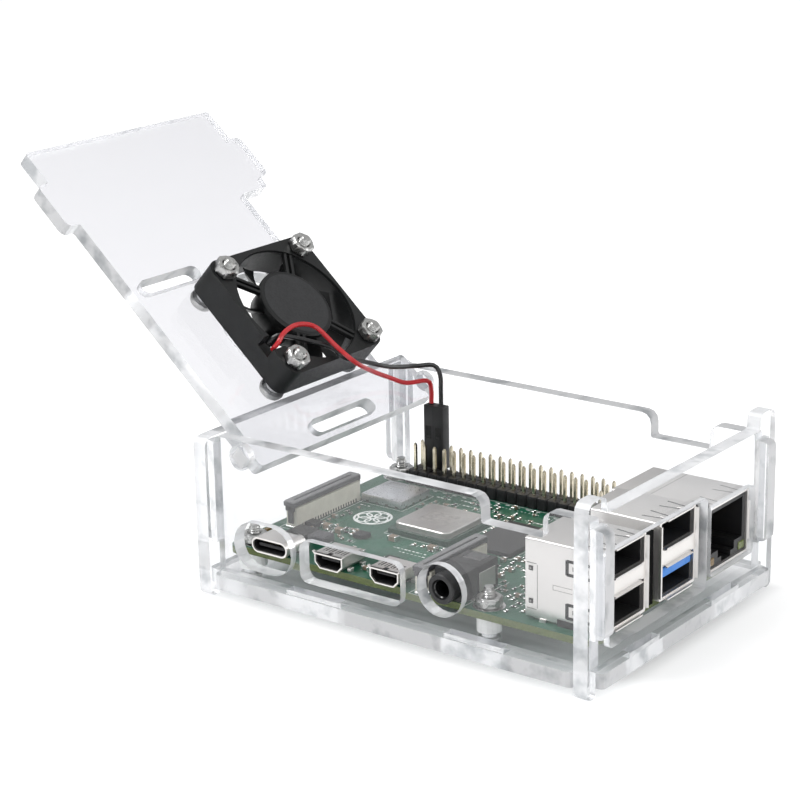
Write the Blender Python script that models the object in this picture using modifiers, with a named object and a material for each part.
"""A single board computer in a clear six-plate acrylic case, with a cooling fan on its hinged lid.

Sizes are in millimetres on two datums. The board datum is the circuit board's front left corner on
its top face: X along the long side, Y towards the pin header, Z up. The lid datum is the lid's pivot
axis: X runs from the pivot to the lid's tip, Z towards the lid's outer face, and it is turned by the
angle at which the open lid leans on the left end panel. The origin of the finished part is the centre
of its bounding box, on the surface that the end panels' feet stand on.
"""
import math

import bmesh
import bpy
from mathutils import Vector

MM = 0.001
GAP = 0.3                                  # clearance between two pieces that touch
ACRYLIC = 3.0                              # thickness of every case plate

# Circuit board
BOARD_X, BOARD_Y, BOARD_T = 85.0, 56.0, 1.4
HOLE_XS = (3.5, 61.5)
HOLE_YS = (3.5, 52.5)
ON_BOARD = 0.1                             # solder gap under the parts on the board

# Case plates, measured to their outer faces
CLEAR = 0.25                               # from the board's edges to the plates' inner faces
LEFT, RIGHT = -CLEAR - ACRYLIC, BOARD_X + CLEAR + ACRYLIC
FRONT, REAR = -CLEAR - ACRYLIC, BOARD_Y + CLEAR + ACRYLIC
BASE_TOP = -4.9
BASE_BOTTOM = BASE_TOP - ACRYLIC
BASE_BEYOND = 2.45                         # base plate past the front and rear panels
BASE_BEYOND_X = 1.45                       # base plate past the end panels
FOOT = -9.6                                # underside of the end panels' feet
EAR = 2.8                                  # end panels past the front and rear panels
TENON = 1.8                                # front and rear panels' tenons past the end panels
TENON_Z = (1.5, 22.0)
SIDE_TOP = 23.4                            # top of the front, rear and left end panels
RIGHT_TOP, RIGHT_EAR_TOP = 24.3, 27.6
TAB_XS = ((17.6, 30.5), (55.4, 68.3))      # panel tabs that drop through the base plate
END_TAB_YS = ((8.0, 18.0), (38.0, 48.0))
LID_NOTCH_X = (63.6, 77.0)
LID_NOTCH_Z = 18.4

# Lid, on the lid datum
PIVOT_X, PIVOT_Z = 6.2, 20.0
PIVOT_HOLE_R = 2.6
OPEN_ANGLE = 138.0
LID_TAIL, LID_TIP = -3.9, 78.7
LID_TAB = (59.3, 70.4)
LID_CUT = (7.4, 56.2)                      # the rear edge is cut back here, over the pin header
LID_CUT_Y = 47.5
LID_PIN = 1.8                              # half width of the pivot tabs

# Fan, on the lid datum
FAN_X, FAN_Y = 23.6, 29.8
FAN_SIZE, FAN_T, FAN_PITCH = 30.0, 7.0, 12.0
FAN_OUT = -ACRYLIC / 2 - 0.15              # fan face against the lid
FAN_IN = FAN_OUT - FAN_T                   # face with the struts and the nuts
FAN_BORE = 13.9

WIRE_R = 0.5

HALF_Y = BOARD_Y / 2
LEAN = math.radians(OPEN_ANGLE)
LOW_X = PIVOT_X + LID_TIP * math.cos(LEAN) - ACRYLIC / 2 * math.sin(LEAN)
HIGH_X = RIGHT + TENON
ORIGIN = ((LOW_X + HIGH_X) / 2, HALF_Y, FOOT)


# ---------------------------------------------------------------- scene and helpers
def clear_scene():
    """Remove whatever the scene holds."""
    for old in list(bpy.data.objects):
        bpy.data.objects.remove(old, do_unlink=True)


clear_scene()
model = bpy.data.collections.new("single_board_computer")
cutters = bpy.data.collections.new("cutters")
for group in (model, cutters):
    bpy.context.scene.collection.children.link(group)


def make_material(name, colour, roughness, metallic=0.0, alpha=1.0, clear=0.0):
    """Return a Principled material; clear is its transmission."""
    made = bpy.data.materials.new(name)
    made.use_nodes = True
    shader = made.node_tree.nodes["Principled BSDF"]
    shader.inputs["Base Color"].default_value = (*colour, 1.0)
    shader.inputs["Roughness"].default_value = roughness
    shader.inputs["Metallic"].default_value = metallic
    shader.inputs["Alpha"].default_value = alpha
    shader.inputs["Transmission Weight"].default_value = clear
    made.diffuse_color = (*colour, alpha)
    return made


CLEAR_ACRYLIC = make_material("clear_acrylic", (0.93, 0.95, 0.96), 0.03, alpha=0.35, clear=0.95)
GREEN_BOARD = make_material("green_board", (0.03, 0.20, 0.11), 0.45)
BLACK_PLASTIC = make_material("black_plastic", (0.02, 0.02, 0.022), 0.45)
WHITE_NYLON = make_material("white_nylon", (0.85, 0.85, 0.83), 0.5)
CREAM_PLASTIC = make_material("cream_plastic", (0.72, 0.68, 0.58), 0.5)
BLUE_PLASTIC = make_material("blue_plastic", (0.05, 0.24, 0.70), 0.4)
STEEL = make_material("bright_steel", (0.72, 0.71, 0.69), 0.28, metallic=1.0)
ZINC = make_material("zinc_screw", (0.62, 0.62, 0.62), 0.3, metallic=1.0)
SPREADER = make_material("heat_spreader", (0.62, 0.60, 0.57), 0.42, metallic=0.9)
RED_WIRE = make_material("red_wire", (0.55, 0.02, 0.02), 0.4)
BLACK_WIRE = make_material("black_wire", (0.015, 0.015, 0.016), 0.4)


def empty(name, place, parent=None):
    """Return an empty at place, in millimetres on its parent's datum."""
    made = bpy.data.objects.new(name, None)
    made.location = Vector(place) * MM
    made.parent = parent
    model.objects.link(made)
    return made


board = empty("board_datum", [-value for value in ORIGIN])
hinge = empty("lid_hinge_axis", (PIVOT_X, HALF_Y, PIVOT_Z), board)
hinge.rotation_euler = (0.0, -LEAN, 0.0)


def finish(name, mesh, place, datum, surface, smooth=True, cutter=False):
    """Link a mesh as an object; a cutter goes in its own collection and is never rendered."""
    made = bpy.data.objects.new(name, mesh)
    made.location = Vector(place) * MM
    made.parent = datum
    if surface:
        mesh.materials.append(surface)
    if smooth:
        mesh.shade_smooth()
        mesh.set_sharp_from_angle(angle=math.radians(35))
    (cutters if cutter else model).objects.link(made)
    if cutter:
        made.hide_render = True
        made.display_type = 'WIRE'
    return made


def new_mesh(name, bm):
    """Return the finished bmesh as a mesh in metres."""
    bmesh.ops.scale(bm, vec=(MM, MM, MM), verts=bm.verts)
    bmesh.ops.recalc_face_normals(bm, faces=bm.faces)
    mesh = bpy.data.meshes.new(name)
    bm.to_mesh(mesh)
    bm.free()
    return mesh


def box(name, xs, ys, zs, datum, surface=None, bevel=0.0, cutter=False):
    """A block between three pairs of limits, with bevelled edges if bevel is given."""
    bm = bmesh.new()
    bmesh.ops.create_cube(bm, size=1.0)
    size = [high - low for low, high in (xs, ys, zs)]
    bmesh.ops.scale(bm, vec=size, verts=bm.verts)
    middle = [(low + high) / 2 for low, high in (xs, ys, zs)]
    made = finish(name, new_mesh(name, bm), middle, datum, surface, smooth=bevel > 0, cutter=cutter)
    if bevel:
        rounding = made.modifiers.new("Rounding", 'BEVEL')
        rounding.width = bevel * MM
        rounding.segments = 2
        rounding.limit_method = 'ANGLE'
    return made


TURNS = {"X": (0.0, math.pi / 2, 0.0), "Y": (-math.pi / 2, 0.0, 0.0), "Z": (0.0, 0.0, 0.0)}


def cylinder(name, place, radius, length, axis, datum, surface=None, sides=24, tip=None, cutter=False):
    """A round bar centred on place along axis; tip is the far end's radius on a cone."""
    bm = bmesh.new()
    far = radius if tip is None else tip
    bmesh.ops.create_cone(bm, cap_ends=True, segments=sides, radius1=radius, radius2=far, depth=length)
    made = finish(name, new_mesh(name, bm), place, datum, surface, cutter=cutter)
    made.rotation_euler = TURNS[axis]
    return made


def arc(centre, radius, start, end, steps):
    """Points on an arc, in degrees."""
    angles = [math.radians(start + (end - start) * step / steps) for step in range(steps + 1)]
    return [(centre[0] + radius * math.cos(a), centre[1] + radius * math.sin(a)) for a in angles]


def circle(centre, radius, steps=24):
    """A closed round outline."""
    return arc(centre, radius, 0, 360, steps)[:-1]


def rounded(corners, steps=3):
    """An outline through (u, v, radius) corners, each rounded by an arc tangent to its two sides."""
    points = []
    count = len(corners)
    for index, (u, v, radius) in enumerate(corners):
        here = Vector((u, v))
        if radius <= 0:
            points.append((u, v))
            continue
        before = (Vector(corners[index - 1][:2]) - here).normalized()
        after = (Vector(corners[(index + 1) % count][:2]) - here).normalized()
        half = before.angle(after) / 2
        centre = here + (before + after).normalized() * (radius / math.sin(half))
        first = here + before * (radius / math.tan(half)) - centre
        last = here + after * (radius / math.tan(half)) - centre
        sweep = first.angle_signed(last)
        for step in range(steps + 1):
            turn = -sweep * step / steps
            ray = Vector((first.x * math.cos(turn) - first.y * math.sin(turn),
                          first.x * math.sin(turn) + first.y * math.cos(turn)))
            points.append(tuple(centre + ray))
    return points


def block(us, vs, radius=0.0, steps=3):
    """A rectangular outline with rounded corners."""
    corners = [(us[0], vs[0]), (us[1], vs[0]), (us[1], vs[1]), (us[0], vs[1])]
    return rounded([(u, v, radius) for u, v in corners], steps)


def slot(us, vs, steps=5):
    """A stadium outline along its longer side."""
    return block(us, vs, min(us[1] - us[0], vs[1] - vs[0]) / 2 - 0.01, steps)


PLANES = {"XY": (0.0, 0.0, 0.0), "XZ": (math.pi / 2, 0.0, 0.0), "YZ": (math.pi / 2, 0.0, math.pi / 2)}


def plate(name, plane, outlines, low, high, datum, surface=None, cutter=False):
    """A flat plate: the first outline less the others, between low and high across its plane."""
    curve = bpy.data.curves.new(name, 'CURVE')
    curve.dimensions = '2D'
    curve.fill_mode = 'BOTH'
    curve.extrude = (high - low) / 2 * MM
    for outline in outlines:
        spline = curve.splines.new('POLY')
        spline.points.add(len(outline) - 1)
        for point, (u, v) in zip(spline.points, outline):
            point.co = (u * MM, v * MM, 0.0, 1.0)
        spline.use_cyclic_u = True
    guide = bpy.data.objects.new(name, curve)
    cutters.objects.link(guide)
    mesh = bpy.data.meshes.new_from_object(guide.evaluated_get(bpy.context.evaluated_depsgraph_get()))
    bpy.data.objects.remove(guide, do_unlink=True)
    bm = bmesh.new()
    bm.from_mesh(mesh)
    bmesh.ops.remove_doubles(bm, verts=bm.verts, dist=0.00001)
    bmesh.ops.recalc_face_normals(bm, faces=bm.faces)
    bm.to_mesh(mesh)
    bm.free()
    mesh.name = name
    across = (low + high) / 2
    place = {"XY": (0, 0, across), "XZ": (0, across, 0), "YZ": (across, 0, 0)}[plane]
    made = finish(name, mesh, place, datum, surface, cutter=cutter)
    made.rotation_euler = PLANES[plane]
    return made


def turned(name, profile, place, axis, datum, surface=None, sides=16, cutter=False):
    """A turned piece: (radius, height) points from the top of its axis down to the bottom."""
    bm = bmesh.new()
    points = [bm.verts.new((radius, 0.0, height)) for radius, height in profile]
    for first, second in zip(points, points[1:]):
        bm.edges.new((first, second))
    bmesh.ops.scale(bm, vec=(MM, MM, MM), verts=bm.verts)
    mesh = bpy.data.meshes.new(name)
    bm.to_mesh(mesh)
    bm.free()
    made = finish(name, mesh, place, datum, surface, smooth=False, cutter=cutter)
    made.rotation_euler = TURNS[axis]
    screw = made.modifiers.new("Turn", 'SCREW')
    screw.steps = sides
    screw.render_steps = sides
    screw.use_merge_vertices = True
    screw.merge_threshold = 0.00001
    return made


def combine(target, others, operation='DIFFERENCE'):
    """Cut the others from target, or join them to it."""
    for other in others:
        change = target.modifiers.new(operation.title(), 'BOOLEAN')
        change.operation = operation
        change.object = other
    return target


# ---------------------------------------------------------------- case plates
def base_plate():
    """Base plate, cut away at its corners for the end panels' feet and slotted for the tabs."""
    x0, x1 = LEFT - BASE_BEYOND_X, RIGHT + BASE_BEYOND_X
    y0, y1 = FRONT - BASE_BEYOND, REAR + BASE_BEYOND
    in_x0, in_x1 = LEFT + ACRYLIC + GAP, RIGHT - ACRYLIC - GAP
    in_y0, in_y1 = FRONT - 0.15 + GAP, REAR + 0.15 - GAP
    corners = [(in_x0, y0, 1.5), (in_x1, y0, 1.5), (in_x1, in_y0, 0), (x1, in_y0, 1.0),
               (x1, in_y1, 1.0), (in_x1, in_y1, 0), (in_x1, y1, 1.5), (in_x0, y1, 1.5),
               (in_x0, in_y1, 0), (x0, in_y1, 1.0), (x0, in_y0, 1.0), (in_x0, in_y0, 0)]
    holes = [circle((x, y), 1.45, 16) for x in HOLE_XS for y in HOLE_YS]
    for low, high in TAB_XS:
        for inner in (FRONT, REAR - ACRYLIC):
            holes.append(block((low - GAP, high + GAP), (inner - GAP, inner + ACRYLIC + GAP)))
    for low, high in END_TAB_YS:
        for inner in (LEFT, RIGHT - ACRYLIC):
            holes.append(block((inner - GAP, inner + ACRYLIC + GAP), (low - GAP, high + GAP)))
    plate("base_plate", "XY", [rounded(corners)] + holes, BASE_BOTTOM, BASE_TOP, board, CLEAR_ACRYLIC)


def long_panel(name, outer, inner, windows):
    """Front or rear panel: two tenons, two tabs, a notch for the lid's tab and the pivot hole."""
    left, right = LEFT + ACRYLIC + CLEAR, RIGHT - ACRYLIC - CLEAR
    low = BASE_TOP + 0.1
    corners = [(left, low, 0)]
    for tab_low, tab_high in TAB_XS:
        corners += [(tab_low, low, 0), (tab_low, BASE_BOTTOM, 0), (tab_high, BASE_BOTTOM, 0),
                    (tab_high, low, 0)]
    corners += [(right, low, 0), (right, TENON_Z[0], 0), (RIGHT + TENON, TENON_Z[0], 1.2),
                (RIGHT + TENON, TENON_Z[1], 1.2), (right, TENON_Z[1], 0), (right, SIDE_TOP, 0.6),
                (LID_NOTCH_X[1], SIDE_TOP, 1.8), (LID_NOTCH_X[1], LID_NOTCH_Z, 0.5),
                (LID_NOTCH_X[0], LID_NOTCH_Z, 0.5), (LID_NOTCH_X[0], SIDE_TOP, 2.2),
                (left, SIDE_TOP, 0.6), (left, TENON_Z[1], 0), (LEFT - TENON, TENON_Z[1], 1.2),
                (LEFT - TENON, TENON_Z[0], 1.2), (left, TENON_Z[0], 0)]
    outlines = [rounded(corners), circle((PIVOT_X, PIVOT_Z), PIVOT_HOLE_R)] + windows
    plate(name, "XZ", outlines, min(outer, inner), max(outer, inner), board, CLEAR_ACRYLIC)


def end_panel(name, outer, inner, tops, windows, notch=None):
    """End panel: ears with feet past the long panels, mortises, and tabs through the base plate."""
    top, ear_top = tops
    near, far = FRONT - EAR, REAR + EAR
    leg_near, leg_far = FRONT - 0.15, REAR + 0.15
    low = BASE_TOP + 0.1
    corners = [(near, FOOT, 1.2), (leg_near, FOOT, 0.8), (leg_near, low, 0)]
    tabs = []
    for tab_low, tab_high in END_TAB_YS:
        tabs.append([(tab_low, low, 0), (tab_low, BASE_BOTTOM, 0), (tab_high, BASE_BOTTOM, 0),
                     (tab_high, low, 0)])
    between = [(notch[0], low, 0), (notch[0], notch[2], 1.0), (notch[1], notch[2], 1.0),
               (notch[1], low, 0)] if notch else []
    corners += tabs[0] + between + tabs[1]
    corners += [(leg_far, low, 0), (leg_far, FOOT, 0.8), (far, FOOT, 1.2), (far, ear_top, 2.0)]
    if ear_top > top:
        corners += [(REAR - ACRYLIC - CLEAR, ear_top, 1.4), (REAR - ACRYLIC - CLEAR, top, 0.8),
                    (FRONT + ACRYLIC + CLEAR, top, 0.8), (FRONT + ACRYLIC + CLEAR, ear_top, 1.4)]
    corners.append((near, ear_top, 2.0))
    mortise_z = (TENON_Z[0] - GAP, TENON_Z[1] + GAP)
    mortises = [block((low_y - GAP, low_y + ACRYLIC + GAP), mortise_z)
                for low_y in (FRONT, REAR - ACRYLIC)]
    plate(name, "YZ", [rounded(corners)] + mortises + windows, min(outer, inner), max(outer, inner),
          board, CLEAR_ACRYLIC)


def case():
    """The five fixed plates."""
    base_plate()
    usb_c_window = slot((3.9, 18.5), (-3.0, 7.0))
    hdmi_window = block((20.6, 45.0), (-2.6, 6.1), 2.0)
    audio_window = circle((54.0, 3.0), 5.2)
    long_panel("front_panel", FRONT, FRONT + ACRYLIC, [usb_c_window, hdmi_window, audio_window])
    long_panel("rear_panel", REAR - ACRYLIC, REAR, [])
    usb_window = block((1.2, 36.0), (-1.9, 16.6), 1.0)
    network_window = block((37.4, 54.1), (-0.2, 13.9), 0.8)
    end_panel("right_end_panel", RIGHT - ACRYLIC, RIGHT, (RIGHT_TOP, RIGHT_EAR_TOP),
              [usb_window, network_window])
    end_panel("left_end_panel", LEFT, LEFT + ACRYLIC, (SIDE_TOP, SIDE_TOP), [], (21.0, 35.0, -0.4))


# ---------------------------------------------------------------- lid and fan
def lid():
    """Lid plate on the hinge datum, open side down when closed."""
    y0, y1 = -HALF_Y, HALF_Y
    out = ACRYLIC + CLEAR - 0.1
    cut = LID_CUT_Y - HALF_Y
    corners = [(LID_TAIL, y0, 0.8), (-LID_PIN, y0, 0), (-LID_PIN, y0 - out, 0.4), (LID_PIN, y0 - out, 0.4),
               (LID_PIN, y0, 0), (LID_TAB[0], y0, 0.5), (LID_TAB[0], y0 - out, 1.5),
               (LID_TAB[1], y0 - out, 1.5), (LID_TAB[1], y0, 0.5), (LID_TIP, y0, 0.8),
               (LID_TIP, y1, 0.8), (LID_TAB[1], y1, 0.5), (LID_TAB[1], y1 + out, 1.5),
               (LID_TAB[0], y1 + out, 1.5), (LID_TAB[0], y1, 0.5), (LID_CUT[1], y1, 1.0),
               (LID_CUT[1], cut, 0.5), (LID_CUT[0], cut, 0.5), (LID_CUT[0], y1, 1.0),
               (LID_PIN, y1, 0), (LID_PIN, y1 + out, 0.4), (-LID_PIN, y1 + out, 0.4),
               (-LID_PIN, y1, 0), (LID_TAIL, y1, 0.8)]
    middle = (FAN_X, FAN_Y - HALF_Y)
    holes = [circle(middle, FAN_BORE, 32)]
    for dx in (-FAN_PITCH, FAN_PITCH):
        for dy in (-FAN_PITCH, FAN_PITCH):
            holes.append(circle((middle[0] + dx, middle[1] + dy), 1.7, 16))
    holes.append(slot((39.5, 42.9), (2.9 - HALF_Y, 20.2 - HALF_Y)))
    holes.append(slot((-2.2, 1.2), (18.0 - HALF_Y, 38.0 - HALF_Y)))
    plate("lid_panel", "XY", [rounded(corners)] + holes, -ACRYLIC / 2, ACRYLIC / 2, hinge, CLEAR_ACRYLIC)


def fan():
    """Fan frame with its struts, the bladed rotor, and the screws and nuts that clamp it to the lid."""
    x, y = FAN_X, FAN_Y - HALF_Y
    half = FAN_SIZE / 2
    outline = block((x - half, x + half), (y - half, y + half), 2.6)
    holes = [circle((x, y), FAN_BORE, 32)]
    for dx in (-FAN_PITCH, FAN_PITCH):
        for dy in (-FAN_PITCH, FAN_PITCH):
            holes.append(circle((x + dx, y + dy), 1.75, 12))
    frame = plate("fan_frame", "XY", [outline] + holes, FAN_IN, FAN_OUT, hinge, BLACK_PLASTIC)
    strut_top = FAN_IN + 1.3
    spider = [cylinder("fan_stator_disc", (x, y, (FAN_IN + strut_top) / 2), 8.0, 1.3, "Z", hinge,
                       sides=32, cutter=True)]
    for turn in range(4):
        strut = box(f"fan_strut_{turn}", (6.0, FAN_BORE + 0.6), (-1.0, 1.0), (FAN_IN + 0.1, strut_top - 0.1),
                    hinge, cutter=True)
        angle = math.radians(35 + 90 * turn)
        reach = (6.0 + FAN_BORE + 0.6) / 2
        strut.location = Vector((x + reach * math.cos(angle), y + reach * math.sin(angle),
                                 (FAN_IN + strut_top) / 2)) * MM
        strut.rotation_euler = (0.0, 0.0, angle)
        spider.append(strut)
    combine(frame, spider, 'UNION')
    lead_slot = box("fan_lead_slot", (x - 8.4, x - 4.7), (y - half - 1, y - FAN_BORE + 4.0),
                    (FAN_IN - 1, FAN_IN + 3.0), hinge, cutter=True)
    combine(frame, [lead_slot])

    hub_low, hub_high = strut_top + 0.35, FAN_OUT - 0.5
    rotor = cylinder("fan_rotor", (x, y, (hub_low + hub_high) / 2), 7.6, hub_high - hub_low, "Z", hinge,
                     BLACK_PLASTIC, sides=28)
    blades = []
    for turn in range(7):
        blade = box(f"fan_blade_{turn}", (6.8, 13.2), (-3.2, 3.2), (-0.35, 0.35), hinge, cutter=True)
        angle = math.radians(360 / 7 * turn)
        blade.location = Vector((x + 10.0 * math.cos(angle), y + 10.0 * math.sin(angle),
                                 (hub_low + hub_high) / 2)) * MM
        blade.rotation_euler = (math.radians(32), 0.0, angle)
        blades.append(blade)
    combine(rotor, blades, 'UNION')

    head_low = ACRYLIC / 2 + 0.1
    end = FAN_IN - 3.6
    profile = [(0.0, head_low + 1.9), (1.4, head_low + 1.8), (2.4, head_low + 1.2), (2.75, head_low + 0.4),
               (2.75, head_low), (1.4, head_low), (1.4, end + 0.4), (1.1, end), (0.0, end)]
    nut_z = (FAN_IN - 2.5, FAN_IN - 0.1)
    number = 0
    for dx in (-FAN_PITCH, FAN_PITCH):
        for dy in (-FAN_PITCH, FAN_PITCH):
            number += 1
            turned(f"fan_screw_{number}", profile, (x + dx, y + dy, 0.0), "Z", hinge, ZINC)
            hexagon = arc((0, 0), 2.75, 15, 375, 6)[:-1]
            nut = plate(f"fan_nut_{number}", "XY", [hexagon, circle((0, 0), 1.65, 12)], nut_z[0], nut_z[1],
                        hinge, ZINC)
            nut.location += Vector((x + dx, y + dy, 0.0)) * MM


# ---------------------------------------------------------------- board and its fasteners
def fasteners():
    """Screws up through the base plate, spacers under the board and nuts on top of it."""
    profile = [(0.0, 3.9), (0.9, 3.9), (1.15, 3.6), (1.15, BASE_BOTTOM - 0.1), (2.2, BASE_BOTTOM - 0.1),
               (2.2, BASE_BOTTOM - 0.5), (1.7, BASE_BOTTOM - 1.3), (0.0, BASE_BOTTOM - 1.4)]
    number = 0
    for x in HOLE_XS:
        for y in HOLE_YS:
            number += 1
            turned(f"board_screw_{number}", profile, (x, y, 0.0), "Z", board, ZINC, sides=14)
            spacer = plate(f"spacer_{number}", "XY", [circle((0, 0), 2.4, 16), circle((0, 0), 1.45, 12)],
                           BASE_TOP + 0.1, -BOARD_T - 0.1, board, WHITE_NYLON)
            hexagon = arc((0, 0), 2.75, 15, 375, 6)[:-1]
            nut = plate(f"board_nut_{number}", "XY", [hexagon, circle((0, 0), 1.4, 12)], 0.1, 2.0, board, ZINC)
            for piece in (spacer, nut):
                piece.location += Vector((x, y, 0.0)) * MM


def circuit_board():
    """Bare board with its four mounting holes."""
    holes = [circle((x, y), 1.4, 16) for x in HOLE_XS for y in HOLE_YS]
    plate("circuit_board", "XY", [block((0, BOARD_X), (0, BOARD_Y), 3.0)] + holes, -BOARD_T, 0.0, board,
          GREEN_BOARD)


def chips():
    """Processor with its heat spreader, and the flat packages around it."""
    z = ON_BOARD
    processor = box("processor", (22.7, 37.7), (23.5, 38.5), (z, z + 1.0), board, SPREADER)
    spreader = box("processor_spreader", (23.5, 36.9), (24.3, 37.7), (z + 0.8, z + 2.3), board,
                   bevel=0.5, cutter=True)
    combine(processor, [spreader], 'UNION')
    box("memory_chip", (40.6, 51.2), (25.3, 39.8), (z, z + 0.9), board, BLACK_PLASTIC, 0.08)
    box("radio_can", (6.6, 17.2), (35.6, 45.6), (z, z + 1.7), board, STEEL, 0.35)
    box("power_chip", (6.6, 11.6), (10.6, 15.6), (z, z + 0.9), board, BLACK_PLASTIC, 0.08)
    box("power_coil", (13.2, 17.2), (9.4, 13.4), (z, z + 1.9), board, BLACK_PLASTIC, 0.3)
    box("usb_controller", (56.2, 64.2), (28.6, 36.6), (z, z + 0.9), board, BLACK_PLASTIC, 0.08)
    box("network_chip", (53.8, 59.4), (37.4, 43.0), (z, z + 0.9), board, BLACK_PLASTIC, 0.08)
    card = box("card_socket", (1.2, 15.6), (21.8, 34.2), (-BOARD_T - z - 1.5, -BOARD_T - z), board, STEEL)
    mouth = box("card_mouth", (0.2, 13.6), (22.6, 33.4), (-BOARD_T - z - 1.15, -BOARD_T - z - 0.35), board,
                cutter=True)
    combine(card, [mouth])


def pin_grid(name, xs, ys, low, height, tip, datum, surface):
    """Header: one body block whose top cells each carry a square pin with a tapered tip."""
    pitch, pin = 2.54, 0.32
    columns, rows = len(xs), len(ys)
    bm = bmesh.new()
    bmesh.ops.create_grid(bm, x_segments=columns, y_segments=rows, size=0.5)
    bmesh.ops.scale(bm, vec=(columns * pitch, rows * pitch, 1.0), verts=bm.verts)
    tops = bm.faces[:]
    sides = bmesh.ops.extrude_face_region(bm, geom=tops)
    lifted = [item for item in sides["geom"] if isinstance(item, bmesh.types.BMVert)]
    bmesh.ops.translate(bm, verts=lifted, vec=(0, 0, height))
    cells = [item for item in sides["geom"] if isinstance(item, bmesh.types.BMFace)]
    for cell in cells:
        bmesh.ops.inset_individual(bm, faces=[cell], thickness=pitch / 2 - pin)
        for end, scale in ((tip - 0.6, 1.0), (tip, 0.5)):
            raised = bmesh.ops.extrude_discrete_faces(bm, faces=[cell])["faces"][0]
            rise = end - raised.calc_center_median().z
            bmesh.ops.translate(bm, verts=raised.verts, vec=(0, 0, rise))
            centre = raised.calc_center_median()
            for vert in raised.verts:
                vert.co.x = centre.x + (vert.co.x - centre.x) * scale
                vert.co.y = centre.y + (vert.co.y - centre.y) * scale
            cell = raised
    middle = ((xs[0] + xs[-1]) / 2, (ys[0] + ys[-1]) / 2, low)
    finish(name, new_mesh(name, bm), middle, datum, surface, smooth=False)


def headers():
    """Twenty by two pin header and the small two by two header."""
    pitch = 2.54
    xs = [8.37 + pitch * step for step in range(20)]
    pin_grid("pin_header", xs, [51.23, 53.77], ON_BOARD, 2.5, 8.4, board, BLACK_PLASTIC)
    pin_grid("power_header", [57.6, 60.14], [44.7, 47.24], ON_BOARD, 2.5, 8.4, board, BLACK_PLASTIC)


# ---------------------------------------------------------------- connectors
def usb_stack(prefix, middle, tongue_surface):
    """Two sockets in one flared steel shell, with a tongue block inside."""
    back, front = 70.2, 87.6
    half, low, high = 6.55, 0.3, 15.9
    shell = box(f"{prefix}_shell", (back, front - 1.0), (middle - half, middle + half), (low, high), board, STEEL)
    flare = plate(f"{prefix}_flare", "YZ",
                  [rounded([(middle - 7.2, low + 0.2, 0.4), (middle + 7.2, low + 0.2, 0.4),
                            (middle + 7.2, high + 0.1, 0.4), (middle - 7.2, high + 0.1, 0.4)])],
                  front - 1.2, front, board, cutter=True)
    combine(shell, [flare], 'UNION')
    for number, (floor, roof) in enumerate(((0.8, 7.0), (10.2, 15.4))):
        cavity = box(f"{prefix}_cavity_{number}", (back + 3.0, front + 1.0), (middle - 6.25, middle + 6.25),
                     (floor, roof), board, cutter=True)
        combine(shell, [cavity])
        box(f"{prefix}_tongue_{number + 1}", (back + 3.2, front - 2.2), (middle - 5.6, middle + 5.6),
            (roof - 1.9, roof - 0.3), board, tongue_surface, 0.2)


def network_jack():
    """Network socket with its keyed mouth."""
    shell = box("network_jack", (66.0, 87.3), (37.75, 53.75), (0.1, 13.4), board, STEEL)
    middle = 45.75
    for number, (half, low, back) in enumerate(((6.2, 3.6, 74.0), (3.2, 2.0, 74.1), (1.8, 0.9, 74.2))):
        mouth = box(f"network_mouth_{number}", (back, 88.5), (middle - half, middle + half), (low, 11.8 - number),
                    board, cutter=True)
        combine(shell, [mouth])
    box("network_contacts", (74.2, 79.0), (middle - 5.0, middle + 5.0), (9.6, 11.4), board, BLACK_PLASTIC, 0.2)


def front_sockets():
    """Power socket, two video sockets and the audio jack along the front edge."""
    power = plate("power_socket", "XZ", [slot((6.7, 15.7), (0.1, 3.3))], -1.2, 6.2, board, STEEL)
    power_mouth = plate("power_mouth", "XZ", [slot((7.1, 15.3), (0.5, 2.9))], -2.2, 4.6, board, cutter=True)
    tongue = box("power_tongue", (8.0, 14.4), (-0.4, 5.0), (1.4, 2.0), board, cutter=True)
    combine(power, [power_mouth])
    combine(power, [tongue], 'UNION')
    for number, x in enumerate((26.0, 39.5)):
        outline = [(x - 2.2, 0.1), (x + 2.2, 0.1), (x + 3.4, 1.3), (x + 3.4, 3.3), (x - 3.4, 3.3), (x - 3.4, 1.3)]
        inner = [(x - 2.0, 0.45), (x + 2.0, 0.45), (x + 3.05, 1.5), (x + 3.05, 2.95), (x - 3.05, 2.95),
                 (x - 3.05, 1.5)]
        socket = plate(f"video_socket_{number + 1}", "XZ", [outline], -1.1, 6.6, board, STEEL)
        mouth = plate(f"video_mouth_{number}", "XZ", [inner], -2.1, 5.0, board, cutter=True)
        blade = box(f"video_tongue_{number}", (x - 2.2, x + 2.2), (-0.2, 5.4), (1.9, 2.4), board, cutter=True)
        combine(socket, [mouth])
        combine(socket, [blade], 'UNION')
    jack = box("audio_jack", (50.6, 57.4), (0.2, 12.4), (0.1, 6.0), board, BLACK_PLASTIC, 0.2)
    nose = cylinder("audio_nose", (54.0, -1.0, 3.1), 2.95, 3.6, "Y", board, sides=24, cutter=True)
    bore = cylinder("audio_bore", (54.0, 1.0, 3.1), 1.75, 9.0, "Y", board, sides=16, cutter=True)
    combine(jack, [nose], 'UNION')
    combine(jack, [bore])


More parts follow.
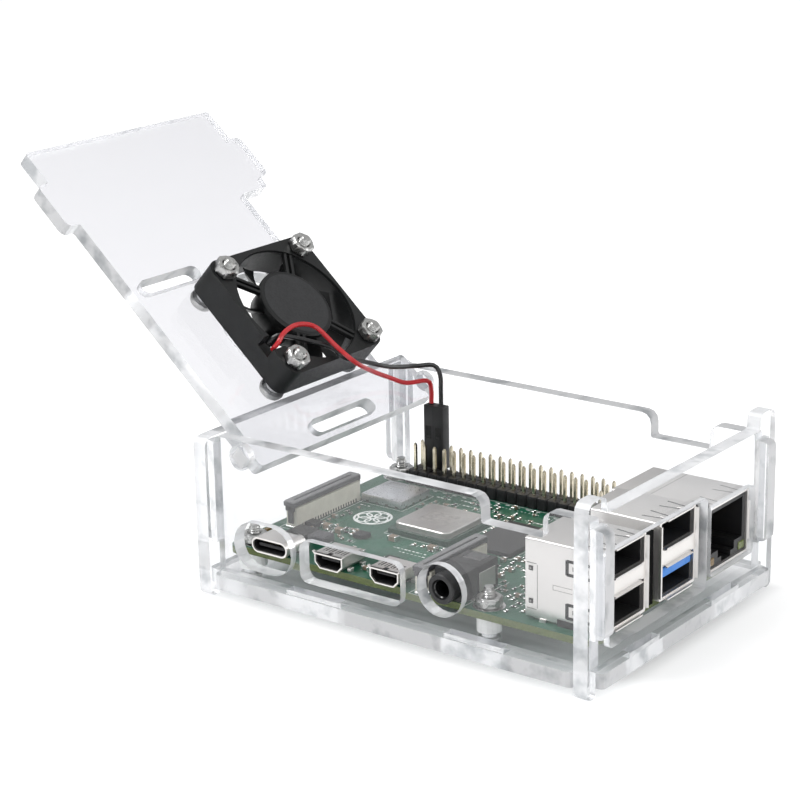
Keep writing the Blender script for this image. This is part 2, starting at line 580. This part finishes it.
def ribbon_connector(prefix, x, ys, body_surface):
    """Upright flat cable connector: a body and the latch that lifts to free the cable."""
    depth, height = 2.9, 4.3
    body = box(f"{prefix}_body", (x, x + depth), ys, (ON_BOARD, height), board, body_surface)
    gap = box(f"{prefix}_gap", (x + 1.0, x + 1.9), (ys[0] + 1.6, ys[1] - 1.6), (1.0, height + 1), board,
              cutter=True)
    combine(body, [gap])
    latch = box(f"{prefix}_latch", (x - 0.5, x + depth + 0.1), (ys[0] - 0.5, ys[1] + 0.5),
                (height + 0.15, height + 1.35), board, BLACK_PLASTIC)
    way = box(f"{prefix}_way", (x + 1.0, x + depth + 1), (ys[0] + 1.6, ys[1] - 1.6), (height - 1, height + 2),
              board, cutter=True)
    combine(latch, [way])


def connectors():
    """Every socket on the board."""
    usb_stack("usb2", 9.0, BLACK_PLASTIC)
    usb_stack("usb3", 27.0, BLUE_PLASTIC)
    network_jack()
    front_sockets()
    ribbon_connector("display", 3.3, (15.0, 36.0), CREAM_PLASTIC)
    ribbon_connector("camera", 46.4, (0.8, 20.6), CREAM_PLASTIC)


# ---------------------------------------------------------------- fan lead
def smooth_route(points, spacing):
    """Points at even spacing on a Catmull-Rom curve through the given ones."""
    ends = [2 * points[0] - points[1]] + points + [2 * points[-1] - points[-2]]
    fine = []
    for a, b, c, d in zip(ends, ends[1:], ends[2:], ends[3:]):
        for step in range(16):
            t = step / 16
            fine.append(0.5 * (2 * b + (c - a) * t + (2 * a - 5 * b + 4 * c - d) * t * t
                               + (3 * b - a - 3 * c + d) * t * t * t))
    fine.append(points[-1])
    route, walked = [fine[0]], 0.0
    for before, after in zip(fine, fine[1:]):
        walked += (after - before).length
        if walked >= spacing:
            route.append(after)
            walked = 0.0
    if (route[-1] - fine[-1]).length < spacing / 2:
        route.pop()
    return route + [fine[-1]]


def on_lid(x, y, z):
    """A board datum point for one on the lid datum, with y from the board's front edge."""
    return Vector((PIVOT_X + x * math.cos(LEAN) - z * math.sin(LEAN), y,
                   PIVOT_Z + x * math.sin(LEAN) + z * math.cos(LEAN)))


PLUG_X = (9.64, 14.72)
PLUG_Z = (2.95, 17.0)
PLUG_Y = (52.55, 54.99)
RED_ROUTE = [on_lid(16.3, 16.6, -7.0), on_lid(15.9, 15.7, -9.9), on_lid(17.2, 18.2, -10.8),
             on_lid(17.8, 22.6, -11.0), on_lid(16.0, 26.8, -11.0), on_lid(10.6, 28.4, -10.8),
             on_lid(5.7, 30.3, -10.6), Vector((7.4, 38.0, 27.6)), Vector((7.3, 44.0, 24.7)),
             Vector((8.3, 48.4, 22.6)), Vector((10.7, 52.6, 22.4)), Vector((10.92, 53.77, 20.2)),
             Vector((10.91, 53.77, 17.2))]
BLACK_ROUTE = [on_lid(17.8, 16.8, -7.0), on_lid(17.8, 17.5, -9.3), on_lid(16.2, 21.0, -9.4),
               on_lid(13.8, 25.0, -9.4), on_lid(11.0, 28.6, -9.5), Vector((6.6, 30.1, 32.2)),
               Vector((6.3, 37.0, 29.7)), Vector((7.5, 44.0, 27.1)), Vector((9.5, 50.0, 26.1)),
               Vector((12.1, 53.2, 25.9)), Vector((13.3, 53.8, 23.8)), Vector((13.45, 53.77, 20.8)),
               Vector((13.45, 53.77, 17.2))]


def lead(name, route, surface):
    """One insulated wire as a round tube along a smooth route."""
    curve = bpy.data.curves.new(name, 'CURVE')
    curve.dimensions = '3D'
    curve.bevel_depth = WIRE_R * MM
    curve.bevel_resolution = 2
    curve.use_fill_caps = True
    spline = curve.splines.new('POLY')
    points = smooth_route(route, 2.2)
    spline.points.add(len(points) - 1)
    for point, place in zip(spline.points, points):
        point.co = (*(place * MM), 1.0)
    made = bpy.data.objects.new(name, curve)
    made.parent = board
    curve.materials.append(surface)
    model.objects.link(made)


def fan_lead():
    """Red and black wires from the fan to the two-way plug on the pin header."""
    lead("fan_wire_red", RED_ROUTE, RED_WIRE)
    lead("fan_wire_black", BLACK_ROUTE, BLACK_WIRE)
    plug = box("fan_plug", PLUG_X, PLUG_Y, PLUG_Z, board, BLACK_PLASTIC)
    for number, x in enumerate((10.91, 13.45)):
        socket = box(f"plug_socket_{number}", (x - 0.75, x + 0.75), (53.02, 54.52), (PLUG_Z[0] - 1, 9.4), board,
                     cutter=True)
        combine(plug, [socket])


case()
lid()
fan()
fasteners()
circuit_board()
chips()
headers()
connectors()
fan_lead()
